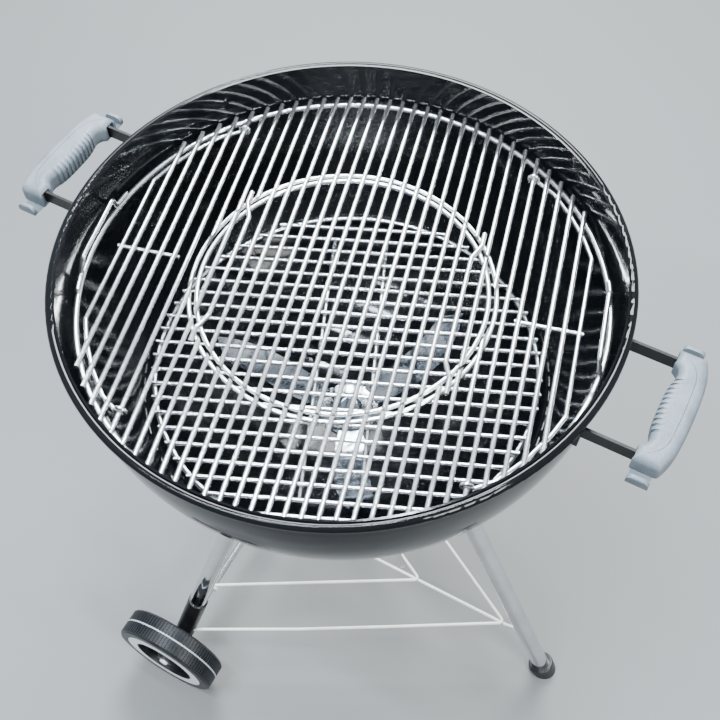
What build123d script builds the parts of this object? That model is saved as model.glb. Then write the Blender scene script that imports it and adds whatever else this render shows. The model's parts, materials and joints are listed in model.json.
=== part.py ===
from build123d import *
from math import asin, atan2, cos, degrees, radians, sin, sqrt
import os

os.makedirs("parts", exist_ok=True)

# Kettle charcoal grill. Millimetres, +Z up, ground at z = 0, the bowl's axis on Z.
# +X points to the single front leg, -X to the wheels.

# Bowl profile: short upright wall, side arc, flatter bottom arc
WALL_R = 280.0
SHEET = 2.0
RIM_Z = 821.0
RIM_BEAD_R = 4.6
RIM_OUTER_R = 288.0
SHOULDER_Z = 789.0
SIDE_ARC_R = 260.0
SIDE_CENTRE_R = WALL_R - SIDE_ARC_R
BOTTOM_ARC_R = 328.0
BOTTOM_SPAN = degrees(asin(SIDE_CENTRE_R / (BOTTOM_ARC_R - SIDE_ARC_R)))
BOTTOM_CENTRE_Z = SHOULDER_Z + sqrt((BOTTOM_ARC_R - SIDE_ARC_R) ** 2 - SIDE_CENTRE_R**2)
VENT_TURN = 61.0
VENT_MID_R = 66.0
VENT_LENGTH = 52.0
VENT_WIDTH = 20.0

# Levels of the grates (ring centrelines)
COOK_Z = 770.0
COAL_Z = 632.0
REST_GAP = 0.3

# Cooking grate, drawn in a frame turned by GRATE_TURN (bars run along its y)
GRATE_TURN = 14.48
BAR_R = 2.5
WELD = 0.4
COOK_RING_R = 270.0
COOK_ROD_R = 3.0
BAR_TIP_R = 276.0
BAR_END_R = 153.8
CENTRE_RING_R = 156.7
CENTRE_ROD_R = 2.5
BAR_PITCH = 15.05
HINGE_INDEX = 11
FLAP_INDICES = range(12, 16)
CENTRE_RING_Z = COOK_Z + COOK_ROD_R - CENTRE_ROD_R
BAR_Z = COOK_Z + COOK_ROD_R + BAR_R - WELD
GRIP_RISE = 26.0
GRIP_ROD_R = 2.5
GRIP_FOOT_V = 48.0
GRIP_TAIL_V = 68.0
GRIP_TOP_V = 39.0
GRIP_TOP_U = 261.5

# Hinged flaps
FLAP_BAR_Z = COOK_Z + COOK_ROD_R + BAR_R + REST_GAP
FLAP_WIRE_R = 2.2
FLAP_WIRE_Z = FLAP_BAR_Z - BAR_R - FLAP_WIRE_R + WELD
FLAP_EDGE_U = 241.0
FLAP_EDGE_V = 97.0
FLAP_ARC_R = 260.0
EYE_V = 191.0
EYE_GAP = 0.08

# Centre insert
INSERT_RING_R = 148.5
INSERT_END_R = 151.2
INSERT_BAR_Z = CENTRE_RING_Z + CENTRE_ROD_R + BAR_R + REST_GAP
INSERT_RING_Z = INSERT_BAR_Z - BAR_R - CENTRE_ROD_R + WELD
EAR_INDEX = 8
EAR_BEND_V = 66.0
EAR_KNEE_V = 84.0
EAR_END_U = 128.0
EAR_END_V = 101.0

# Charcoal grate
COAL_TURN = 23.4
COAL_RING_R = 216.5
COAL_ROD_R = 3.0
COAL_BAR_R = 2.5
COAL_PITCH = 18.56
COAL_BARS = 22
COAL_TIP_R = 220.0
COAL_CROSS = 32.0
COAL_CROSS_HALF = 175.0

# Grate brackets on the inner wall
BRACKET_TURNS = (60.0, 150.0, 240.0, 330.0)
BRACKET_WIDTH = 14.0
BRACKET_SHEET = 2.0
COOK_LEDGE_R = 262.0
COAL_LEDGE_R = 207.0
COOK_FLANGE = 26.0
COAL_FLANGE = 22.0

# Sweep blades, hub and vent lever
BLADE_GAP = 1.0
BLADE_SHEET = 1.4
BLADE_TIP_R = 176.0
HUB_PLATE_R = 36.0
HUB_PLATE_Z = 530.5
HUB_SHEET = 1.6
HUB_DOME_R = 17.0
HUB_DOME_RISE = 9.0
PIVOT_R = 4.0
PIVOT_FIT = 0.08
LEVER_TURN = -43.6
LEVER_REACH = 204.0
LEVER_Z = 505.0
LEVER_SHEET = 2.5
LEVER_TIP_HALF = 2.6
PIVOT_END_Z = 497.0
NUT_R = 7.5
NUT_HEIGHT = 5.0

# Legs
LEG_R = 12.5
LEG_WALL = 1.2
LEG_TOP_R = 110.0
FRONT_FOOT_R = 331.5
FRONT_FOOT_Z = 0.0
AXLE_X = -171.5
AXLE_Z = 79.0
AXLE_R = 5.0
WHEEL_LEG_Y = 229.0
WHEEL_LEG_TURN = 120.0
SOCKET_R = 15.5
SOCKET_LENGTH = 62.0
SOCKET_FIT = 0.05
LEG_TOP_GAP = 6.0
CAP_R = 19.0
CAP_SHEET = 3.0
CAP_HEIGHT = 15.0
PLUG_R = 14.5
PLUG_TOP = 92.0
PLUG_END = 17.0
LEG_END = 25.0

# Wheels
WHEEL_R = 79.0
WHEEL_WIDTH = 40.0
WHEEL_MID_Y = 270.0
TREAD_SHEET = 8.0
TREAD_GROOVES = 96
RING_INNER_R = 47.5
RING_OUTER_R = 63.5
RING_SHEET = 1.2
HUB_R = 12.0
HUB_INNER_Y = 249.0
HUB_OUTER_Y = 289.0
AXLE_FIT = 0.1
HUB_CAP_R = 6.5
HUB_CAP_LENGTH = 3.6
RIB_COUNT = 6

# Wire rack between the legs
RACK_Z = 101.0
RACK_R = 2.25
RACK_OUTER_X = 255.0
RACK_INNER_X = 112.0
RACK_BOW = ((117.6, 79.0), (-13.9, 153.5))
RACK_END = (-163.0, 233.0)
RACK_END_Z = 88.0
RACK_EYE_Y = 157.0
RACK_TAIL_X = 290.0
RACK_BEND = 4.5
EYE_TOP_Z = AXLE_Z + AXLE_R + RACK_R

# Bowl handles
HANDLE_Z = 795.0
ARM_Y = 55.0
ARM_SHEET = 3.0
ARM_HEIGHT = 15.0
CROSSBAR_X = 340.0
FLANGE_HEIGHT = 24.0
FLANGE_WIDTH = 14.0
FLANGE_FACE_R = 278.5
GRIP_HEIGHT = 26.0
GRIP_EDGE = 8.0
PARTING_GAP = 0.4
RIB_PITCH = 6.0
RIB_STEPS = 5
RIB_WIDTH = 2.8
RIB_DEPTH = 1.8
RIB_LENGTH = 17.0
HOOK_REACH_Y = 79.0
HOOK_SHEET = 4.5
HOOK_HEIGHT = 14.0
HOOK_CORNER = 6.5
HOOK_ROOT_Y = 59.0
HOOK_BASE_Z = HANDLE_Z - GRIP_HEIGHT / 2 + 1
HOOK_X0 = 328.5
HOOK_X1 = 349.5
SCREW_Y = 27.0
POCKET_Y = 56.5
POCKET_SIZE = (10.0, 11.0, 17.0)

# Ash pan and its holder
PAN_R = 100.0
PAN_BASE_Z = 426.0
PAN_HEIGHT = 38.0
PAN_SHEET = 1.5
PAN_TURN = -61.5
HOLDER_R = 84.0
HOLDER_ROD_R = 2.5


def radial_plane(azimuth):
    """Upright plane through the Z axis: its x runs outward at the azimuth, its y up."""
    a = radians(azimuth)
    return Plane(origin=(0, 0, 0), x_dir=(cos(a), sin(a), 0), z_dir=(sin(a), -cos(a), 0))


def bowl_z(radius, sphere_r=BOTTOM_ARC_R):
    """Height of the bowl's bottom arc at a distance from the axis."""
    return BOTTOM_CENTRE_Z - sqrt(sphere_r**2 - radius**2)


def rod(start, end, radius):
    """Straight round rod between two points, in the active part."""
    run = Vector(*end) - Vector(*start)
    with Locations(Plane(origin=start, z_dir=run).location):
        Cylinder(radius, run.length, align=(Align.CENTER, Align.CENTER, Align.MIN))


def bent_rod(points, bend, radius):
    """Round rod bent through a row of points."""
    with BuildPart() as piece:
        with BuildLine() as path:
            FilletPolyline(*points, radius=bend)
        with BuildSketch(Plane(origin=path.line @ 0, z_dir=path.line % 0)):
            Circle(radius)
        sweep()
    return piece.part


def bowl_body(inset, top_z):
    """Solid of revolution inside the bowl's outer profile, shrunk by the inset."""
    with BuildPart() as body:
        with BuildSketch(Plane.XZ):
            with BuildLine():
                foot = CenterArc((0, BOTTOM_CENTRE_Z), BOTTOM_ARC_R - inset, -90, BOTTOM_SPAN)
                side = CenterArc(
                    (SIDE_CENTRE_R, SHOULDER_Z),
                    SIDE_ARC_R - inset,
                    BOTTOM_SPAN - 90,
                    90 - BOTTOM_SPAN,
                )
                wall = Line(side @ 1, (WALL_R - inset, top_z))
                lid = Line(wall @ 1, (0, top_z))
                Line(lid @ 1, foot @ 0)
            make_face()
        revolve(axis=Axis.Z)
    return body.part


def leg_line(azimuth, foot):
    """Top point of a leg's axis on the bowl and the unit vector down to its foot."""
    a = radians(azimuth)
    top = Vector(LEG_TOP_R * cos(a), LEG_TOP_R * sin(a), bowl_z(LEG_TOP_R))
    return top, (Vector(*foot) - top).normalized()


def save(part, name):
    """Label a part and write it as its own file."""
    part.label = name
    export_step(part, "parts/" + name + ".step")


outer_body = bowl_body(0, RIM_Z)
inner_body = bowl_body(SHEET, RIM_Z + 5)

FRONT_FOOT = (FRONT_FOOT_R, 0, FRONT_FOOT_Z)
LEGS = {
    "front": (0.0, FRONT_FOOT),
    "near_wheel": (-WHEEL_LEG_TURN, (AXLE_X, -WHEEL_LEG_Y, AXLE_Z)),
    "far_wheel": (WHEEL_LEG_TURN, (AXLE_X, WHEEL_LEG_Y, AXLE_Z)),
}

# Bowl with rolled rim, vents and the pivot hole
with BuildPart() as bowl:
    add(outer_body)
    add(inner_body, mode=Mode.SUBTRACT)
    with Locations((0, 0, RIM_Z - RIM_BEAD_R)):
        Torus(RIM_OUTER_R - RIM_BEAD_R, RIM_BEAD_R)
    with BuildSketch(Plane.XY.offset(BOTTOM_CENTRE_Z - BOTTOM_ARC_R - 1)):
        with PolarLocations(VENT_MID_R, 3, start_angle=VENT_TURN):
            SlotOverall(VENT_LENGTH, VENT_WIDTH)
        Circle(PIVOT_R + PIVOT_FIT)
    extrude(amount=40, mode=Mode.SUBTRACT)
save(bowl.part, "bowl")

# Brackets for the two grates: a ledge and a flange spot welded to the inner wall
liner_body = bowl_body(SHEET + BRACKET_SHEET, RIM_Z + 5)


def ring_of_brackets(ledge_r, ledge_z, flange):
    """Four brackets whose flanges follow the bowl's inner face below the ledge."""
    arc = degrees(BRACKET_WIDTH / ledge_r)
    with BuildPart() as brackets:
        for turn in BRACKET_TURNS:
            with BuildSketch(radial_plane(turn - arc / 2)):
                with Locations((ledge_r, ledge_z)):
                    Rectangle(WALL_R - ledge_r, flange, align=(Align.MIN, Align.MAX))
            revolve(axis=Axis.Z, revolution_arc=arc)
        add(liner_body, mode=Mode.SUBTRACT)
        for turn in BRACKET_TURNS:
            with BuildSketch(radial_plane(turn - arc / 2)):
                with Locations((ledge_r, ledge_z)):
                    Rectangle(WALL_R - ledge_r, BRACKET_SHEET, align=(Align.MIN, Align.MAX))
            revolve(axis=Axis.Z, revolution_arc=arc)
        add(inner_body, mode=Mode.INTERSECT)
    return brackets.part


cook_brackets = ring_of_brackets(COOK_LEDGE_R, COOK_Z - COOK_ROD_R - REST_GAP, COOK_FLANGE)
save(cook_brackets, "cooking_grate_brackets")
coal_brackets = ring_of_brackets(COAL_LEDGE_R, COAL_Z - COAL_ROD_R - REST_GAP, COAL_FLANGE)
save(coal_brackets, "charcoal_grate_brackets")

# Cooking grate: main ring, centre ring, bars cut round at the centre ring, hinge bars
with BuildPart() as cooking_grate:
    with Locations(Rotation(0, 0, GRATE_TURN)):
        for index in range(-HINGE_INDEX, HINGE_INDEX + 1):
            u = index * BAR_PITCH
            tip = sqrt(BAR_TIP_R**2 - u**2)
            rod((u, -tip, BAR_Z), (u, tip, BAR_Z), BAR_R)
        with Locations((0, 0, BAR_Z)):
            Cylinder(BAR_END_R, 4 * BAR_R, mode=Mode.SUBTRACT)
        with Locations((0, 0, COOK_Z)):
            Torus(COOK_RING_R, COOK_ROD_R)
        with Locations((0, 0, CENTRE_RING_Z)):
            Torus(CENTRE_RING_R, CENTRE_ROD_R)
save(cooking_grate.part, "cooking_grate")

# Lifting grips: a bent wire welded on the ring at each side
GRIP_FOOT_Z = COOK_Z + COOK_ROD_R + GRIP_ROD_R
grip_foot_u = sqrt(COOK_RING_R**2 - GRIP_FOOT_V**2)
grip_tail_u = sqrt(COOK_RING_R**2 - GRIP_TAIL_V**2)
for side, name in ((-1, "left_grate_grip"), (1, "right_grate_grip")):
    half = [
        (side * grip_tail_u, GRIP_TAIL_V, GRIP_FOOT_Z),
        (side * grip_foot_u, GRIP_FOOT_V, GRIP_FOOT_Z),
        (side * GRIP_TOP_U, GRIP_TOP_V, COOK_Z + GRIP_RISE),
    ]
    mirrored = [(u, -v, z) for u, v, z in reversed(half)]
    with BuildPart() as grip:
        with Locations(Rotation(0, 0, GRATE_TURN)):
            add(bent_rod(half + mirrored, 6, GRIP_ROD_R))
    save(grip.part, name)

# Hinged side flaps: edge wire with an eye round the hinge bar at each end, bars, cross wire
HINGE_U = HINGE_INDEX * BAR_PITCH
EYE_MAJOR = BAR_R + EYE_GAP + FLAP_WIRE_R
for side, name in ((-1, "left_flap"), (1, "right_flap")):
    bend_a = (side * FLAP_EDGE_U, FLAP_EDGE_V)
    bend_b = (side * sqrt(FLAP_ARC_R**2 - 120**2), 120)
    bend_c = (side * sqrt(FLAP_ARC_R**2 - 150**2), 150)
    bend_d = (side * sqrt(FLAP_ARC_R**2 - 178**2), 178)
    eye_end = (side * (HINGE_U + 4.8), EYE_V)
    half = [eye_end, bend_d, bend_c, bend_b, bend_a]
    plan = half + [(u, -v) for u, v in reversed(half)]
    edge_wire = bent_rod([(u, v, FLAP_WIRE_Z) for u, v in plan], 6, FLAP_WIRE_R)
    with BuildPart() as flap:
        with Locations(Rotation(0, 0, GRATE_TURN)):
            add(edge_wire)
            for eye_v in (-EYE_V, EYE_V):
                with Locations(Location((side * HINGE_U, eye_v, BAR_Z), (90, 0, 0))):
                    Torus(EYE_MAJOR, FLAP_WIRE_R)
            for index in FLAP_INDICES:
                u = side * index * BAR_PITCH
                tip = sqrt(BAR_TIP_R**2 - (index * BAR_PITCH + BAR_R) ** 2)
                rod((u, -tip, FLAP_BAR_Z), (u, tip, FLAP_BAR_Z), BAR_R)
            rod(
                (side * (HINGE_U + 11), 0, FLAP_WIRE_Z),
                (side * (FLAP_EDGE_U + 4), 0, FLAP_WIRE_Z),
                FLAP_WIRE_R,
            )
    save(flap.part, name)

# Round centre insert, hung over the centre ring by four ears
ears = []
for side in (-1, 1):
    ear_u = side * EAR_INDEX * BAR_PITCH
    ears.append(
        bent_rod(
            [
                (side * EAR_END_U, -EAR_END_V, INSERT_BAR_Z),
                (side * EAR_END_U, -EAR_KNEE_V, INSERT_BAR_Z),
                (ear_u, -EAR_BEND_V, INSERT_BAR_Z),
                (ear_u, EAR_BEND_V, INSERT_BAR_Z),
                (side * EAR_END_U, EAR_KNEE_V, INSERT_BAR_Z),
                (side * EAR_END_U, EAR_END_V, INSERT_BAR_Z),
            ],
            5,
            BAR_R,
        )
    )
with BuildPart() as insert:
    with Locations(Rotation(0, 0, GRATE_TURN)):
        for index in range(-EAR_INDEX - 1, EAR_INDEX + 2):
            if abs(index) != EAR_INDEX:
                u = index * BAR_PITCH
                tip = sqrt((INSERT_END_R + 2 * BAR_R) ** 2 - u**2)
                rod((u, -tip, INSERT_BAR_Z), (u, tip, INSERT_BAR_Z), BAR_R)
        with Locations((0, 0, INSERT_BAR_Z)):
            Cylinder(INSERT_END_R, 4 * BAR_R, mode=Mode.INTERSECT)
        with Locations((0, 0, INSERT_RING_Z)):
            Torus(INSERT_RING_R, CENTRE_ROD_R)
        for ear in ears:
            add(ear)
save(insert.part, "centre_insert")

# Charcoal grate
with BuildPart() as coal_grate:
    with Locations(Rotation(0, 0, COAL_TURN)):
        with Locations((0, 0, COAL_Z)):
            Torus(COAL_RING_R, COAL_ROD_R)
        coal_bar_z = COAL_Z + COAL_ROD_R + COAL_BAR_R - WELD
        for index in range(COAL_BARS):
            v = (index - (COAL_BARS - 1) / 2) * COAL_PITCH
            tip = sqrt(COAL_TIP_R**2 - v**2)
            rod((-tip, v, coal_bar_z), (tip, v, coal_bar_z), COAL_BAR_R)
        cross_z = coal_bar_z - 2 * COAL_BAR_R + WELD
        for u in (-COAL_CROSS, COAL_CROSS):
            rod((u, -COAL_CROSS_HALF, cross_z), (u, COAL_CROSS_HALF, cross_z), COAL_BAR_R)
save(coal_grate.part, "charcoal_grate")

# Sweep blades on their hub plate: they follow the bowl's bottom
with BuildPart() as blades:
    for turn in (VENT_TURN, VENT_TURN + 120, VENT_TURN + 240):
        with BuildSketch(Plane.XY.offset(HUB_PLATE_Z - 5).rotated((0, 0, turn))):
            with BuildLine():
                left = Spline((18, 9), (65, 19), (115, 22), (BLADE_TIP_R - 24, 31))
                tip_line = Line(left @ 1, (BLADE_TIP_R - 2, 11))
                low = Spline(tip_line @ 1, (125, -16), (75, -20), (18, -9))
                Line(low @ 1, left @ 0)
            make_face()
        extrude(amount=80)
    add(bowl_body(SHEET + BLADE_GAP, RIM_Z), mode=Mode.INTERSECT)
    add(bowl_body(SHEET + BLADE_GAP + BLADE_SHEET, RIM_Z), mode=Mode.SUBTRACT)
    with BuildSketch(Plane.XY.offset(HUB_PLATE_Z)):
        Circle(HUB_PLATE_R)
        Circle(PIVOT_R, mode=Mode.SUBTRACT)
    extrude(amount=HUB_SHEET)
save(blades.part, "sweep_blades")

# Hub dome with the pivot shaft
HUB_TOP_Z = HUB_PLATE_Z + HUB_SHEET
with BuildPart() as hub:
    with BuildSketch(Plane.XY.offset(HUB_TOP_Z)):
        Circle(HUB_DOME_R)
    extrude(amount=HUB_DOME_RISE)
    fillet(hub.faces().sort_by(Axis.Z)[-1].edges(), HUB_DOME_RISE - 1)
    with BuildSketch(Plane.XY.offset(PIVOT_END_Z)):
        Circle(PIVOT_R)
    extrude(amount=HUB_TOP_Z - PIVOT_END_Z + 1)
save(hub.part, "sweep_hub")

# Vent lever under the bowl
with BuildPart() as lever:
    with BuildSketch(Plane.XY.offset(LEVER_Z).rotated((0, 0, LEVER_TURN))):
        with BuildLine():
            Polyline(
                (0, -11),
                (40, -9),
                (LEVER_REACH, -LEVER_TIP_HALF),
                (LEVER_REACH, LEVER_TIP_HALF),
                (40, 9),
                (0, 11),
                close=True,
            )
        make_face()
        Circle(14)
        Circle(PIVOT_R, mode=Mode.SUBTRACT)
    extrude(amount=LEVER_SHEET)
save(lever.part, "vent_lever")

with BuildPart() as spacer:
    with BuildSketch(Plane.XY.offset(LEVER_Z + LEVER_SHEET)):
        Circle(9)
        Circle(PIVOT_R, mode=Mode.SUBTRACT)
    extrude(amount=BOTTOM_CENTRE_Z - BOTTOM_ARC_R - LEVER_Z - LEVER_SHEET - REST_GAP)
save(spacer.part, "lever_spacer")

with BuildPart() as lever_nut:
    with BuildSketch(Plane.XY.offset(LEVER_Z - NUT_HEIGHT)):
        RegularPolygon(NUT_R, 6)
        Circle(PIVOT_R, mode=Mode.SUBTRACT)
    extrude(amount=NUT_HEIGHT)
save(lever_nut.part, "lever_nut")

# Leg sockets welded under the bowl, legs pushed into them
with BuildPart() as sockets:
    for azimuth, foot in LEGS.values():
        top, down = leg_line(azimuth, foot)
        with BuildSketch(Plane(origin=top - down * 30, z_dir=down)):
            Circle(SOCKET_R)
            Circle(LEG_R + SOCKET_FIT, mode=Mode.SUBTRACT)
        extrude(amount=SOCKET_LENGTH + 30)
    add(outer_body, mode=Mode.SUBTRACT)
save(sockets.part, "leg_sockets")

FRONT_TOP, FRONT_DOWN = leg_line(*LEGS["front"])
FRONT_LENGTH = (Vector(*FRONT_FOOT) - FRONT_TOP).length
with BuildPart() as front_leg:
    with BuildSketch(Plane(origin=FRONT_TOP + FRONT_DOWN * LEG_TOP_GAP, z_dir=FRONT_DOWN)):
        Circle(LEG_R)
        Circle(LEG_R - LEG_WALL, mode=Mode.SUBTRACT)
    extrude(amount=FRONT_LENGTH + 40)
    with BuildSketch(Plane.XY.offset(CAP_SHEET)):
        with Locations((FRONT_FOOT_R, 0)):
            Rectangle(300, 300)
    extrude(amount=-200, mode=Mode.SUBTRACT)
    with BuildSketch(Plane.YZ.offset(RACK_TAIL_X - 30)):
        with Locations((0, RACK_Z)):
            Circle(RACK_R + 0.2)
    extrude(amount=32, mode=Mode.SUBTRACT)
save(front_leg.part, "front_leg")

# Black foot cap: a sleeve on the lower end, flat on the ground
with BuildPart() as foot_cap:
    with BuildSketch(Plane(origin=Vector(*FRONT_FOOT) - FRONT_DOWN * CAP_HEIGHT, z_dir=FRONT_DOWN)):
        Circle(CAP_R)
    extrude(amount=CAP_HEIGHT + 40)
    fillet(foot_cap.faces().sort_by(Axis.Z)[-1].edges(), 2)
    with BuildSketch(Plane.XY):
        with Locations((FRONT_FOOT_R, 0)):
            Rectangle(300, 300)
    extrude(amount=-200, mode=Mode.SUBTRACT)
    with BuildSketch(Plane(origin=FRONT_TOP, z_dir=FRONT_DOWN)):
        Circle(LEG_R)
    extrude(amount=FRONT_LENGTH + 40, mode=Mode.SUBTRACT)
    with BuildSketch(Plane.XY):
        with Locations((FRONT_FOOT_R, 0)):
            Circle(LEG_R + 2)
    extrude(amount=CAP_SHEET)
save(foot_cap.part, "front_leg_cap")

# Wheel legs and the plugs that carry the axle
for side, key in ((-1, "near_wheel"), (1, "far_wheel")):
    top, down = leg_line(*LEGS[key])
    bow_x, bow_y = RACK_BOW[-1]
    bow_z = RACK_Z - (RACK_Z - RACK_END_Z) * (RACK_OUTER_X - bow_x) / (RACK_OUTER_X - RACK_END[0])
    reach = (Vector(*LEGS[key][1]) - top).length
    with BuildPart() as wheel_leg:
        with BuildSketch(Plane(origin=top + down * LEG_TOP_GAP, z_dir=down)):
            Circle(LEG_R)
            Circle(LEG_R - LEG_WALL, mode=Mode.SUBTRACT)
        extrude(amount=reach - LEG_TOP_GAP - LEG_END)
    save(wheel_leg.part, key + "_leg")
    with BuildPart() as plug:
        with BuildSketch(Plane(origin=top + down * (reach - PLUG_TOP), z_dir=down)):
            Circle(PLUG_R)
        extrude(amount=PLUG_TOP + PLUG_END)
        fillet(plug.faces().sort_by(Axis.Z)[0].edges(), 6)
        fillet(plug.faces().sort_by(Axis.Z)[-1].edges(), 1.5)
        with BuildSketch(Plane(origin=top + down * (reach - PLUG_TOP), z_dir=down)):
            Circle(LEG_R)
        extrude(amount=PLUG_TOP - LEG_END, mode=Mode.SUBTRACT)
        with BuildSketch(Plane.XZ.offset(-400)):
            with Locations((AXLE_X, AXLE_Z)):
                Circle(AXLE_R)
        extrude(amount=800, mode=Mode.SUBTRACT)
        wire_end = Vector(RACK_END[0], side * RACK_END[1], RACK_END_Z)
        with BuildSketch(Plane(origin=wire_end, z_dir=Vector(bow_x, side * bow_y, bow_z) - wire_end)):
            Circle(RACK_R + SOCKET_FIT)
        extrude(amount=WHEEL_R, mode=Mode.SUBTRACT)
    save(plug.part, key + "_leg_plug")

# Axle and the push caps on its ends
AXLE_HALF = HUB_OUTER_Y + REST_GAP
with BuildPart() as axle:
    with BuildSketch(Plane.XZ.offset(-AXLE_HALF)):
        with Locations((AXLE_X, AXLE_Z)):
            Circle(AXLE_R)
    extrude(amount=2 * AXLE_HALF)
save(axle.part, "axle")

for side, key in ((-1, "near"), (1, "far")):
    wheel_plane = Plane(
        origin=(AXLE_X, side * WHEEL_MID_Y, AXLE_Z), x_dir=(0, 0, 1), z_dir=(-side, 0, 0)
    )
    wheel_axis = Axis((AXLE_X, 0, AXLE_Z), (0, 1, 0))
    half = WHEEL_WIDTH / 2
    seat = half - RING_SHEET
    hub_in = WHEEL_MID_Y - HUB_INNER_Y
    hub_out = HUB_OUTER_Y - WHEEL_MID_Y
    inner_tread = WHEEL_R - TREAD_SHEET
    # Wheel: tread, outer wall with the ring seat, recessed disc, hub, inner ribs
    with BuildPart() as wheel:
        with BuildSketch(wheel_plane):
            with BuildLine():
                Polyline(
                    (AXLE_R + AXLE_FIT, -hub_in),
                    (HUB_R, -hub_in),
                    (HUB_R, 3),
                    (RING_INNER_R + 2, 3),
                    (RING_INNER_R + 2, seat - 4),
                    (inner_tread, seat - 4),
                    (inner_tread, -half),
                    (WHEEL_R - 3, -half),
                    (WHEEL_R, -half + 3),
                    (WHEEL_R, half - 3),
                    (WHEEL_R - 3, half),
                    (RING_OUTER_R, half),
                    (RING_OUTER_R, seat),
                    (RING_INNER_R, seat),
                    (RING_INNER_R, half),
                    (RING_INNER_R - 2, half),
                    (RING_INNER_R - 2, 7),
                    (HUB_R + 4, 7),
                    (HUB_R, hub_out),
                    (AXLE_R + AXLE_FIT, hub_out),
                    close=True,
                )
            make_face()
        revolve(axis=wheel_axis)
        hub_face = Plane(origin=(AXLE_X, side * WHEEL_MID_Y, AXLE_Z), x_dir=(1, 0, 0), z_dir=(0, side, 0))
        with BuildSketch(hub_face.offset(-half + 4)):
            with PolarLocations((inner_tread + HUB_R) / 2, RIB_COUNT):
                Rectangle(inner_tread - HUB_R + 2, 3)
        extrude(amount=half)
        with BuildSketch(hub_face.offset(-half + 3)):
            with PolarLocations(WHEEL_R, TREAD_GROOVES):
                Rectangle(2.4, 2.2)
        extrude(amount=half - 4.2, mode=Mode.SUBTRACT)
        with BuildSketch(hub_face.offset(1.2)):
            with PolarLocations(WHEEL_R, TREAD_GROOVES):
                Rectangle(2.4, 2.2)
        extrude(amount=half - 4.2, mode=Mode.SUBTRACT)
    save(wheel.part, key + "_wheel")
    with BuildPart() as wheel_ring:
        with BuildSketch(hub_face.offset(seat)):
            Circle(RING_OUTER_R)
            Circle(RING_INNER_R, mode=Mode.SUBTRACT)
        extrude(amount=RING_SHEET)
    save(wheel_ring.part, key + "_wheel_ring")
    with BuildPart() as hub_cap:
        with BuildSketch(hub_face.offset(AXLE_HALF - WHEEL_MID_Y)):
            Circle(HUB_CAP_R)
        extrude(amount=HUB_CAP_LENGTH)
        fillet(hub_cap.faces().sort_by(Axis.Y)[0 if side < 0 else -1].edges(), 2.5)
    save(hub_cap.part, key + "_axle_cap")

# Wire rack: the inner V and the spoke end in eyes on the axle, the outer V in the leg plugs
SPOKE_Z = RACK_Z - 2 * RACK_R + WELD


def rack_wire(corner_x, half_plan, end_z):
    """V wire: straight fall from the front corner to both ends, mirrored about the spoke."""
    end_x = half_plan[-1][0]
    fall = (RACK_Z - end_z) / (corner_x - end_x)
    half = [(x, y, RACK_Z - fall * (corner_x - x)) for x, y in half_plan]
    mirrored = [(x, -y, z) for x, y, z in reversed(half)]
    return bent_rod(mirrored + [(corner_x, 0, RACK_Z)] + half, RACK_BEND, RACK_R)


outer_wire = rack_wire(RACK_OUTER_X, [*RACK_BOW, RACK_END], RACK_END_Z)
inner_wire = rack_wire(RACK_INNER_X, [(AXLE_X, RACK_EYE_Y)], EYE_TOP_Z)
spoke = bent_rod(
    [
        (RACK_TAIL_X, 0, RACK_Z),
        (RACK_OUTER_X + 14, 0, RACK_Z),
        (RACK_OUTER_X + 4, 0, SPOKE_Z),
        (AXLE_X + 20, 0, SPOKE_Z),
        (AXLE_X + 8, 0, EYE_TOP_Z),
        (AXLE_X, 0, EYE_TOP_Z),
    ],
    3,
    RACK_R,
)
with BuildPart() as rack:
    add(outer_wire)
    add(inner_wire)
    add(spoke)
    for eye_y in (-RACK_EYE_Y, 0, RACK_EYE_Y):
        with Locations(Location((AXLE_X, eye_y, AXLE_Z), (90, 0, 0))):
            Cylinder(AXLE_R + 2 * RACK_R, 2 * RACK_R + 0.4)
    with BuildSketch(Plane.XZ.offset(-WHEEL_LEG_Y)):
        with Locations((AXLE_X, AXLE_Z)):
            Circle(AXLE_R)
    extrude(amount=2 * WHEEL_LEG_Y, mode=Mode.SUBTRACT)
save(rack.part, "wire_rack")

# Bowl handles: steel strap, ribbed inner grip, outer grip with tool hooks, screws
ARM_LOW = HANDLE_Z - ARM_HEIGHT / 2
BODY_LOW = HANDLE_Z - GRIP_HEIGHT / 2
BODY_INNER = [(332, 44), (334, 38), (332.2, 30), (329.6, 0), (332.2, -30), (334, -38), (332, -44)]
BODY_END_X = 327.0
BODY_END_Y = 65.0
BODY_OUTER = [(358.5, -50), (362, -20), (362, 20), (358.5, 50), (353, BODY_END_Y)]
PARTING_END_Y = 57.3
PARTING = [(331, PARTING_END_Y), (341, 52.5), (348, 43), (351, 25), (351.5, 0)]


def grip_block():
    """Whole grip, before it is parted into the two shells."""
    with BuildPart() as block:
        with BuildSketch(Plane.XY.offset(BODY_LOW)) as outline:
            with BuildLine():
                inner_edge = Spline(*BODY_INNER)
                low_end = Polyline(
                    inner_edge @ 1,
                    (BODY_END_X, -48),
                    (BODY_END_X, -BODY_END_Y),
                    (353, -BODY_END_Y),
                )
                outer_edge = Spline(low_end @ 1, *BODY_OUTER)
                Polyline(outer_edge @ 1, (BODY_END_X, BODY_END_Y), (BODY_END_X, 48), inner_edge @ 0)
            make_face()
            fillet(outline.vertices().filter_by(lambda v: v.X > HOOK_X1), 3)
        extrude(amount=GRIP_HEIGHT)
        fillet(block.faces().filter_by(Axis.Z).edges(), GRIP_EDGE)
    return block.part


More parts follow.
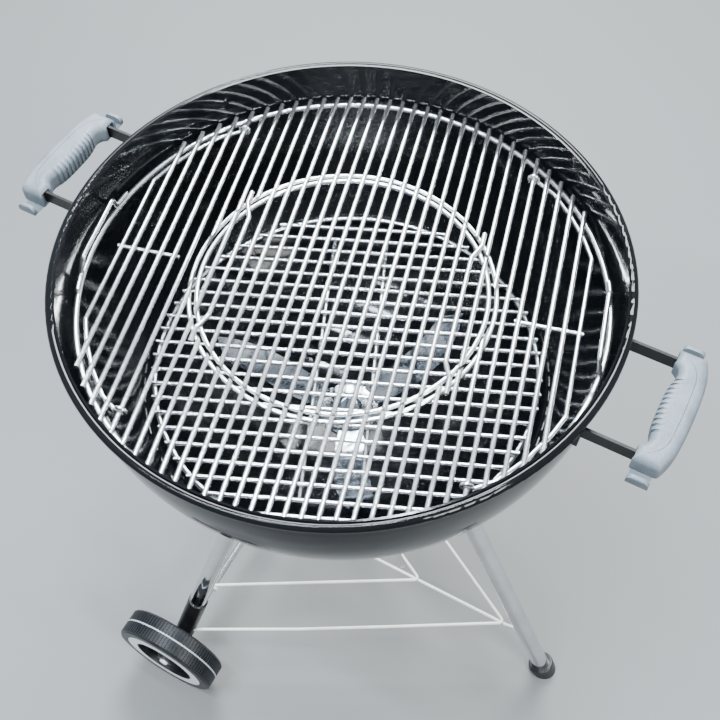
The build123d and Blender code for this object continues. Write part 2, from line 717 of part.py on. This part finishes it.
def parting_prism(shift):
    """Upright prism on the bowl side of the parting line, moved outward by the shift."""
    with BuildPart() as prism:
        with BuildSketch(Plane.XY.offset(BODY_LOW - 5)):
            with BuildLine():
                curve = Spline(
                    *[(x + shift, y) for x, y in PARTING],
                    *[(x + shift, -y) for x, y in PARTING[-2::-1]],
                )
                Polyline(curve @ 1, (300, -PARTING_END_Y), (300, PARTING_END_Y), curve @ 0)
            make_face()
        extrude(amount=GRIP_HEIGHT + 10)
    return prism.part


def tool_hooks():
    """The two J-shaped tool hooks at the ends of the right grip."""
    with BuildPart() as hooks:
        for end in (-1, 1):
            base = HOOK_BASE_Z
            with BuildSketch(Plane.YZ.offset(HOOK_X0)) as profile:
                with BuildLine():
                    Polyline(
                        (end * HOOK_ROOT_Y, base),
                        (end * HOOK_REACH_Y, base),
                        (end * HOOK_REACH_Y, base + HOOK_HEIGHT),
                        (end * (HOOK_REACH_Y - HOOK_SHEET), base + HOOK_HEIGHT),
                        (end * (HOOK_REACH_Y - HOOK_SHEET), base + HOOK_SHEET),
                        (end * HOOK_ROOT_Y, base + HOOK_SHEET),
                        close=True,
                    )
                make_face()
                outer = profile.vertices().filter_by(lambda v: abs(v.X) > HOOK_REACH_Y - 1)
                fillet(outer.sort_by(Axis.Y)[0], HOOK_SHEET + 1)
                outer = profile.vertices().filter_by(lambda v: abs(v.X) > HOOK_REACH_Y - 1)
                fillet(outer.sort_by(Axis.Y)[-1], 2)
            extrude(amount=HOOK_X1 - HOOK_X0)
        with BuildSketch(Plane.XZ.offset(-HOOK_REACH_Y - 5)):
            with Locations(((HOOK_X0 + HOOK_X1) / 2, HOOK_BASE_Z + HOOK_HEIGHT / 2)):
                RectangleRounded(HOOK_X1 - HOOK_X0, HOOK_HEIGHT, HOOK_CORNER)
        extrude(amount=2 * HOOK_REACH_Y + 10, mode=Mode.INTERSECT)
    return hooks.part


def rib_grooves(block):
    """Finger grooves: slots outside the grip when it is moved outward by the rib depth."""
    with BuildPart() as grooves:
        for step in range(-RIB_STEPS, RIB_STEPS + 1):
            with Locations((BODY_END_X, step * RIB_PITCH, HANDLE_Z)):
                Box(2 * RIB_LENGTH, RIB_WIDTH, GRIP_HEIGHT + 4)
        with Locations((RIB_DEPTH, 0, 0)):
            add(block, mode=Mode.SUBTRACT)
    return grooves.part


grip_body = grip_block()
rib_cutters = rib_grooves(grip_body)
hook_pair = tool_hooks()
inner_prism = parting_prism(0)
outer_prism = parting_prism(PARTING_GAP)
for side, key in ((1, "right"), (-1, "left")):
    turn = Rotation(0, 0, 0 if side > 0 else 180)
    # Strap: two arms on edge, a crossbar inside the grip, a flange on the wall under each arm
    with BuildPart() as strap:
        with Locations(turn):
            for arm_y in (-ARM_Y, ARM_Y):
                with Locations((WALL_R - 15, arm_y, ARM_LOW)):
                    Box(
                        CROSSBAR_X + ARM_SHEET / 2 - WALL_R + 15,
                        ARM_SHEET,
                        ARM_HEIGHT,
                        align=(Align.MIN, Align.CENTER, Align.MIN),
                    )
                with Locations((FLANGE_FACE_R, arm_y, ARM_LOW + ARM_HEIGHT)):
                    Box(15, FLANGE_WIDTH, FLANGE_HEIGHT, align=(Align.MAX, Align.CENTER, Align.MAX))
            with Locations((CROSSBAR_X, 0, ARM_LOW)):
                Box(ARM_SHEET, 2 * ARM_Y, ARM_HEIGHT, align=(Align.CENTER, Align.CENTER, Align.MIN))
        add(outer_body, mode=Mode.SUBTRACT)
    save(strap.part, key + "_handle_strap")

    # Ribbed grip half on the bowl side
    with BuildPart() as grip_inner:
        with Locations(turn):
            add(grip_body)
            add(inner_prism, mode=Mode.INTERSECT)
            for end_y in (-POCKET_Y, POCKET_Y):
                with Locations((BODY_END_X, end_y, HANDLE_Z)):
                    Box(*POCKET_SIZE, mode=Mode.SUBTRACT)
            add(rib_cutters, mode=Mode.SUBTRACT)
        add(strap.part, mode=Mode.SUBTRACT)
        with Locations(turn):
            for screw_y in (-SCREW_Y, SCREW_Y):
                with Locations(Location((347, screw_y, HANDLE_Z), (0, 90, 0))):
                    Cylinder(2.05, 11, mode=Mode.SUBTRACT)
    save(grip_inner.part, key + "_handle_inner_grip")

    # Outer grip half with its two tool hooks
    with BuildPart() as grip_outer:
        with Locations(turn):
            add(grip_body)
            add(outer_prism, mode=Mode.SUBTRACT)
            add(hook_pair)
            for end_y in (-POCKET_Y, POCKET_Y):
                with Locations((BODY_END_X, end_y, HANDLE_Z)):
                    Box(*POCKET_SIZE, mode=Mode.SUBTRACT)
        add(strap.part, mode=Mode.SUBTRACT)
        with Locations(turn):
            for screw_y in (-SCREW_Y, SCREW_Y):
                with Locations(Location((356, screw_y, HANDLE_Z), (0, 90, 0))):
                    Cylinder(2.05, 20, mode=Mode.SUBTRACT)
                with Locations(Location((361, screw_y, HANDLE_Z), (0, 90, 0))):
                    Cylinder(4, 6, mode=Mode.SUBTRACT)
    save(grip_outer.part, key + "_handle_outer_grip")

    # Two screws clamp the halves together
    with BuildPart() as screws:
        with Locations(turn):
            for screw_y in (-SCREW_Y, SCREW_Y):
                with Locations(Location((342, screw_y, HANDLE_Z), (0, 90, 0))):
                    Cylinder(2, 16, align=(Align.CENTER, Align.CENTER, Align.MIN))
                with Locations(Location((358, screw_y, HANDLE_Z), (0, 90, 0))):
                    Cylinder(3.8, 2.4, align=(Align.CENTER, Align.CENTER, Align.MIN))
                with Locations(Location((360.4, screw_y, HANDLE_Z))):
                    Box(1.6, 5, 1, mode=Mode.SUBTRACT)
                    Box(1.6, 1, 5, mode=Mode.SUBTRACT)
    save(screws.part, key + "_handle_screws")

# Ash pan and the wire holder between the legs
with BuildPart() as holder:
    with Locations((0, 0, PAN_BASE_Z - HOLDER_ROD_R - REST_GAP)):
        Torus(HOLDER_R, HOLDER_ROD_R)
    holder_z = PAN_BASE_Z - 3 * HOLDER_ROD_R - REST_GAP + WELD
    for azimuth, foot in LEGS.values():
        top, down = leg_line(azimuth, foot)
        at_leg = top + down * ((top.Z - holder_z) / -down.Z)
        turn = atan2(at_leg.Y, at_leg.X)
        rod(
            (HOLDER_R * 0.9 * cos(turn), HOLDER_R * 0.9 * sin(turn), holder_z),
            (at_leg.X, at_leg.Y, holder_z),
            HOLDER_ROD_R,
        )
    for azimuth, foot in LEGS.values():
        top, down = leg_line(azimuth, foot)
        with BuildSketch(Plane(origin=top, z_dir=down)):
            Circle(LEG_R)
        extrude(amount=300, mode=Mode.SUBTRACT)
save(holder.part, "ash_pan_holder")

with BuildPart() as pan:
    with BuildSketch(Plane.XZ):
        with BuildLine():
            Polyline(
                (0, PAN_BASE_Z),
                (PAN_R - 10, PAN_BASE_Z),
                (PAN_R - 4, PAN_BASE_Z + PAN_HEIGHT - 3),
                (PAN_R, PAN_BASE_Z + PAN_HEIGHT - 3),
                (PAN_R, PAN_BASE_Z + PAN_HEIGHT - 3 + PAN_SHEET),
                (PAN_R - 4 - PAN_SHEET, PAN_BASE_Z + PAN_HEIGHT - 3 + PAN_SHEET),
                (PAN_R - 10 - PAN_SHEET, PAN_BASE_Z + PAN_SHEET),
                (0, PAN_BASE_Z + PAN_SHEET),
                close=True,
            )
        make_face()
    revolve(axis=Axis.Z)
    with Locations(Rotation(0, 0, PAN_TURN)):
        with Locations((PAN_R - 3, 0, PAN_BASE_Z + PAN_HEIGHT - 3)):
            Box(25, 30, PAN_SHEET, align=(Align.MIN, Align.CENTER, Align.MIN))
save(pan.part, "ash_pan")
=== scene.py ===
import json
import math

import bmesh
import bpy
from mathutils import Matrix, Vector

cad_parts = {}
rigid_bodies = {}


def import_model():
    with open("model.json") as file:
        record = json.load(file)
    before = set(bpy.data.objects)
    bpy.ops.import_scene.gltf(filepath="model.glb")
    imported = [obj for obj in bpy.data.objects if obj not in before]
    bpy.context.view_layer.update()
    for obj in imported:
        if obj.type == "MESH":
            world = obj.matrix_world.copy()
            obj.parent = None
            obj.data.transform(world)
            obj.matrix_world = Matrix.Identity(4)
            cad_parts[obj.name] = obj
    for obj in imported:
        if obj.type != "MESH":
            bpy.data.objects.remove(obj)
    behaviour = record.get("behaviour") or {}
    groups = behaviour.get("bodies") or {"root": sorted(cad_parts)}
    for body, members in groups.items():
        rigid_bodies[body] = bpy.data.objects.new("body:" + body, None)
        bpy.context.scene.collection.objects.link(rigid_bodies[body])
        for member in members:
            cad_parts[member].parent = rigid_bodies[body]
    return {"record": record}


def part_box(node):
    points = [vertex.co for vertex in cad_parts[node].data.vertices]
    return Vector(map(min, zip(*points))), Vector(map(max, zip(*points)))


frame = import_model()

# Fine relief of the surfaces, as bump depths in metres
GRAIN_DEPTH = 0.0002
MOULD_DEPTH = 0.0003
PEEL_DEPTH = 0.0010
DENT_DEPTH = 0.0016

# Parting line round the tyre's tread, in metres; the line is a painted highlight, coloured pale to stand
# for light on its ridge
SEAM_HALF_WIDTH = 0.0011
SEAM_BELOW_TREAD = 0.0012
SEAM_HIGHLIGHT_COLOR = (0.36, 0.42, 0.46, 1.0)

# Studio, in metres and watts
FLOOR_HALF_WIDTH = 6.0
FLOOR_DROP = 0.0005
FLOOR_COLOR = (0.20, 0.205, 0.205, 1.0)
SKY_COLOR = (0.88, 0.94, 1.0, 1.0)
SKY_STRENGTH = 0.8
LIGHT_TARGET = (0.0, 0.0, 0.7)
STRIP_HEIGHT = 2.6
STRIP_WIDTH = 0.045
STRIP_POWER = 42
STRIP_COLOR = (0.80, 0.90, 1.0)
STRIP_FIRST_Y = -1.1
STRIP_SPACING = 0.54
STRIP_CENTRES_AND_LENGTHS = ((-0.6, 1.2), (-0.3, 0.8), (-0.1, 0.7), (0.0, 0.6))

# Camera: place in metres, azimuth counted from -Y, lens and sensor in millimetres
CAMERA_PLACE = (0.3283, -0.5311, 1.5867)
CAMERA_AZIMUTH = math.radians(30.3)
CAMERA_ELEVATION = math.radians(56.66)
CAMERA_ROLL = math.radians(-1.84)
CAMERA_LENS = 50.24
CAMERA_SENSOR = 36.0

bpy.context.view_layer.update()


class Mat:
    """One node material on a Principled shader, with short calls for its usual nodes."""

    def __init__(self, name, **values):
        self.mat = bpy.data.materials.new(name)
        self.mat.use_nodes = True
        self.nodes = self.mat.node_tree.nodes
        self.nodes.clear()
        self.bsdf = self.nodes.new("ShaderNodeBsdfPrincipled")
        output = self.nodes.new("ShaderNodeOutputMaterial")
        self.link(self.bsdf.outputs["BSDF"], output.inputs["Surface"])
        self.coord = self.nodes.new("ShaderNodeTexCoord").outputs["Object"]
        for key, value in values.items():
            self.bsdf.inputs[key.replace("_", " ")].default_value = value

    def link(self, output, target):
        self.mat.node_tree.links.new(output, target)

    def add(self, kind, inputs, **settings):
        """A node with its settings, and its inputs (a value or a socket) by name or number."""
        made = self.nodes.new(kind)
        for key, value in settings.items():
            setattr(made, key, value)
        for key, value in inputs.items():
            if isinstance(value, bpy.types.NodeSocket):
                self.link(value, made.inputs[key])
            else:
                made.inputs[key].default_value = value
        return made

    def noise(self, scale, detail=3.0):
        inputs = {"Vector": self.coord, "Scale": scale, "Detail": detail}
        return self.add("ShaderNodeTexNoise", inputs).outputs["Fac"]

    def crystals(self, scale):
        inputs = {"Vector": self.coord, "Scale": scale}
        return self.add("ShaderNodeTexVoronoi", inputs).outputs["Distance"]

    def math(self, operation, *values):
        return self.add("ShaderNodeMath", dict(enumerate(values)), operation=operation).outputs[0]

    def weighted(self, first, first_share, second, second_share):
        """Sum of two sockets, each times its share."""
        first_part = self.math("MULTIPLY", first, first_share)
        return self.math("ADD", first_part, self.math("MULTIPLY", second, second_share))

    def ramp(self, fac, *stops):
        """Colour ramp from (place, colour) stops."""
        made = self.add("ShaderNodeValToRGB", {"Fac": fac})
        elements = made.color_ramp.elements
        elements.remove(elements[-1])
        elements[0].position = stops[0][0]
        elements[0].color = (*stops[0][1], 1.0)
        for place, color in stops[1:]:
            elements.new(place).color = (*color, 1.0)
        return made.outputs["Color"]

    def spread(self, fac, limits):
        inputs = {"Value": fac, "To Min": limits[0], "To Max": limits[1]}
        return self.add("ShaderNodeMapRange", inputs).outputs["Result"]

    def mix(self, fac, first, second):
        """Colour mix. The node's colour sockets share their names, so they go by number."""
        inputs = {0: fac, 6: first, 7: second}
        return self.add("ShaderNodeMix", inputs, data_type="RGBA").outputs[2]

    def finish(self, color, roughness, height, strength, depth):
        """Wire up colour, roughness and a bump of the given depth in metres."""
        self.link(color, self.bsdf.inputs["Base Color"])
        self.link(roughness, self.bsdf.inputs["Roughness"])
        inputs = {"Height": height, "Strength": strength, "Distance": depth}
        self.link(self.add("ShaderNodeBump", inputs).outputs["Normal"], self.bsdf.inputs["Normal"])
        return self.mat


def enamel():
    """Black porcelain enamel: deep gloss, faint orange peel, a little dust and handling haze."""
    m = Mat("black_enamel", Specular_IOR_Level=0.2)
    color = m.ramp(m.noise(7), (0.3, (0.0022, 0.0026, 0.0030)), (0.8, (0.0045, 0.0052, 0.0062)))
    haze = m.math("POWER", m.noise(5, 5), 3.0)
    polish = m.spread(m.noise(60), (0.02, 0.05))
    roughness = m.math("ADD", polish, m.math("MULTIPLY", haze, 0.35))
    peel = m.weighted(m.noise(85, 2), 1.0, m.noise(9, 1), 4.0)
    return m.finish(color, roughness, peel, 0.06, PEEL_DEPTH)


def metal(name, dark, light, rough, metallic=1.0, grain=700, relief=0.15):
    """Plated or bare metal with patchy tone, uneven polish and fine draw marks."""
    m = Mat(name, Metallic=metallic)
    tone = m.weighted(m.noise(28, 4), 0.6, m.noise(310, 2), 0.4)
    color = m.ramp(tone, (0.34, dark), (0.62, light))
    return m.finish(color, m.spread(m.noise(130, 4), rough), m.noise(grain, 2), relief, GRAIN_DEPTH)


def sheet_metal():
    """Aluminised sheet: mirror-bright with smoky heat stains and a spangle of fine crystals."""
    m = Mat("aluminised_sheet", Metallic=1.0)
    stained, worn, clean = (0.20, 0.23, 0.27), (0.42, 0.46, 0.51), (0.78, 0.82, 0.86)
    color = m.ramp(m.noise(17, 5), (0.32, stained), (0.5, worn), (0.7, clean))
    spangle = m.math("MULTIPLY", m.noise(45), m.crystals(260.0))
    return m.finish(color, m.spread(spangle, (0.03, 0.16)), m.noise(16, 2), 0.35, DENT_DEPTH)


def plastic(name, dark, light, rough, grain=900, relief=0.25, specular=0.5):
    """Moulded plastic or powder coat: speckled tone and a fine moulded grain."""
    m = Mat(name, Specular_IOR_Level=specular)
    tone = m.weighted(m.noise(40, 4), 0.5, m.noise(grain, 1), 0.5)
    color = m.ramp(tone, (0.36, dark), (0.62, light))
    return m.finish(color, m.spread(m.noise(180), rough), m.noise(grain, 2), relief, MOULD_DEPTH)


def wheel_plastic():
    """Black tyre plastic with a parting line round the middle of both treads, coloured pale as a painted
    highlight on its ridge.
    """
    m = Mat("wheel_plastic", Specular_IOR_Level=0.45)
    low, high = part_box("near_wheel")
    axle_x, near_y, axle_z = [(a + b) / 2 for a, b in zip(low, high)]
    tread_radius = (high[2] - low[2]) / 2
    place = m.add("ShaderNodeSeparateXYZ", {"Vector": m.coord}).outputs
    across = m.math("POWER", m.math("SUBTRACT", place["X"], axle_x), 2.0)
    upward = m.math("POWER", m.math("SUBTRACT", place["Z"], axle_z), 2.0)
    radius = m.math("SQRT", m.math("ADD", across, upward))
    on_tread = m.math("GREATER_THAN", radius, tread_radius - SEAM_BELOW_TREAD)
    on_middle = m.math("COMPARE", m.math("ABSOLUTE", place["Y"]), -near_y, SEAM_HALF_WIDTH)
    black = m.ramp(m.noise(60, 4), (0.35, (0.0035, 0.0045, 0.006)), (0.7, (0.012, 0.015, 0.019)))
    # Painted highlight: the parting line band on the tread is mixed to a pale blue-grey
    color = m.mix(m.math("MULTIPLY", on_middle, on_tread), black, SEAM_HIGHLIGHT_COLOR)
    return m.finish(color, m.spread(m.noise(160), (0.30, 0.50)), m.noise(800, 2), 0.25, GRAIN_DEPTH)


MATERIALS = {
    "enamel": enamel(),
    "aluminized": sheet_metal(),
    "wheel_plastic": wheel_plastic(),
    "plated_wire": metal(
        "plated_wire", (0.84, 0.86, 0.88), (0.99, 0.99, 0.99), rough=(0.11, 0.2), metallic=0.96
    ),
    "coal_wire": metal(
        "coal_wire", (0.76, 0.79, 0.82), (0.96, 0.98, 0.99), rough=(0.11, 0.22), metallic=0.96
    ),
    "chrome_tube": metal(
        "chrome_tube", (0.60, 0.61, 0.62), (0.74, 0.74, 0.75), rough=(0.04, 0.10), grain=90, relief=0.05
    ),
    "axle_steel": metal("axle_steel", (0.48, 0.48, 0.49), (0.68, 0.68, 0.69), rough=(0.2, 0.35)),
    "lever_strip": metal(
        "lever_strip", (0.62, 0.63, 0.64), (0.86, 0.87, 0.88), rough=(0.3, 0.5), metallic=0.35
    ),
    "pan_aluminium": metal(
        "pan_aluminium", (0.58, 0.59, 0.60), (0.74, 0.75, 0.76), rough=(0.28, 0.42)
    ),
    "black_plastic": plastic(
        "black_plastic", (0.004, 0.004, 0.0045), (0.014, 0.014, 0.015), rough=(0.28, 0.45)
    ),
    "white_plastic": plastic(
        "white_plastic", (0.84, 0.84, 0.82), (0.93, 0.93, 0.92), rough=(0.3, 0.42), grain=600, relief=0.1
    ),
    "pale_wire": plastic(
        "pale_wire", (0.74, 0.75, 0.68), (0.90, 0.91, 0.86), rough=(0.28, 0.45), grain=500, relief=0.12
    ),
    "black_strap": plastic(
        "black_strap",
        (0.002, 0.002, 0.002),
        (0.007, 0.007, 0.008),
        rough=(0.32, 0.5),
        grain=700,
        relief=0.2,
        specular=0.35,
    ),
    "grip_plastic": plastic(
        "grip_plastic",
        (0.090, 0.110, 0.126),
        (0.165, 0.192, 0.215),
        rough=(0.42, 0.58),
        grain=1300,
        relief=0.45,
        specular=0.4,
    ),
}

# Nodes with a finish of their own; every other node gets the one of its material slot
OWN_FINISH = {"vent_lever": "lever_strip"}


def paint_nodes():
    for row in frame["record"]["subparts"]:
        piece = bpy.data.objects[row["node"]]
        piece.data.materials.clear()
        piece.data.materials.append(MATERIALS[OWN_FINISH.get(row["node"], row["material_slot"])])


def make_floor():
    """Plain pale floor just under the ground level."""
    floor_mat = Mat("floor", Roughness=0.9, Base_Color=FLOOR_COLOR)
    mesh = bpy.data.meshes.new("floor")
    work = bmesh.new()
    corners = ((-1, -1), (1, -1), (1, 1), (-1, 1))
    half = FLOOR_HALF_WIDTH
    work.faces.new([work.verts.new((x * half, y * half, -FLOOR_DROP)) for x, y in corners])
    work.to_mesh(mesh)
    work.free()
    floor = bpy.data.objects.new("floor", mesh)
    floor.data.materials.append(floor_mat.mat)
    bpy.context.scene.collection.objects.link(floor)


def make_sky():
    """Even, slightly cool light from all round."""
    world = bpy.data.worlds.new("studio")
    bpy.context.scene.world = world
    world.use_nodes = True
    sky = world.node_tree.nodes["Background"].inputs
    sky["Color"].default_value = SKY_COLOR
    sky["Strength"].default_value = SKY_STRENGTH


def soft_light(name, place, target, size, power, color):
    """Rectangular area light at the place, turned to the target."""
    data = bpy.data.lights.new(name, "AREA")
    data.shape = "RECTANGLE"
    data.size, data.size_y = size
    data.energy = power
    data.color = color
    lamp = bpy.data.objects.new(name, data)
    lamp.location = place
    lamp.rotation_euler = (Vector(target) - Vector(place)).to_track_quat("-Z", "Y").to_euler()
    bpy.context.scene.collection.objects.link(lamp)


def make_lights():
    """A key and a side light, and rows of ceiling strips that show in the glossy enamel."""
    soft_light("key", (-1.0, 2.1, 3.0), LIGHT_TARGET, (1.5, 1.3), 300, (0.95, 0.98, 1.0))
    soft_light("side", (2.4, -0.7, 2.4), LIGHT_TARGET, (1.0, 0.8), 90, (1.0, 1.0, 1.0))
    for row, (centre_x, length) in enumerate(STRIP_CENTRES_AND_LENGTHS):
        y = STRIP_FIRST_Y + STRIP_SPACING * row
        place, below = (centre_x, y, STRIP_HEIGHT), (centre_x, y, 0.0)
        soft_light(f"strip_{row}", place, below, (length, STRIP_WIDTH), STRIP_POWER, STRIP_COLOR)


def set_camera(place, azimuth, elevation, roll, lens):
    """Camera looking down at the elevation, from the azimuth counted from -Y, then rolled."""
    right = Vector((math.cos(azimuth), math.sin(azimuth), 0))
    flat = math.cos(elevation)
    back = Vector((math.sin(azimuth) * flat, -math.cos(azimuth) * flat, math.sin(elevation)))
    up = back.cross(right)
    axis_x = math.cos(roll) * right + math.sin(roll) * up
    axis_y = -math.sin(roll) * right + math.cos(roll) * up
    data = bpy.data.cameras.new("view")
    data.sensor_width = CAMERA_SENSOR
    data.lens = lens
    camera = bpy.data.objects.new("view", data)
    turn = Matrix((axis_x, axis_y, back)).transposed().to_4x4()
    camera.matrix_world = Matrix.Translation(place) @ turn
    bpy.context.scene.collection.objects.link(camera)
    bpy.context.scene.camera = camera


paint_nodes()
make_floor()
make_sky()
make_lights()
set_camera(CAMERA_PLACE, CAMERA_AZIMUTH, CAMERA_ELEVATION, CAMERA_ROLL, CAMERA_LENS)
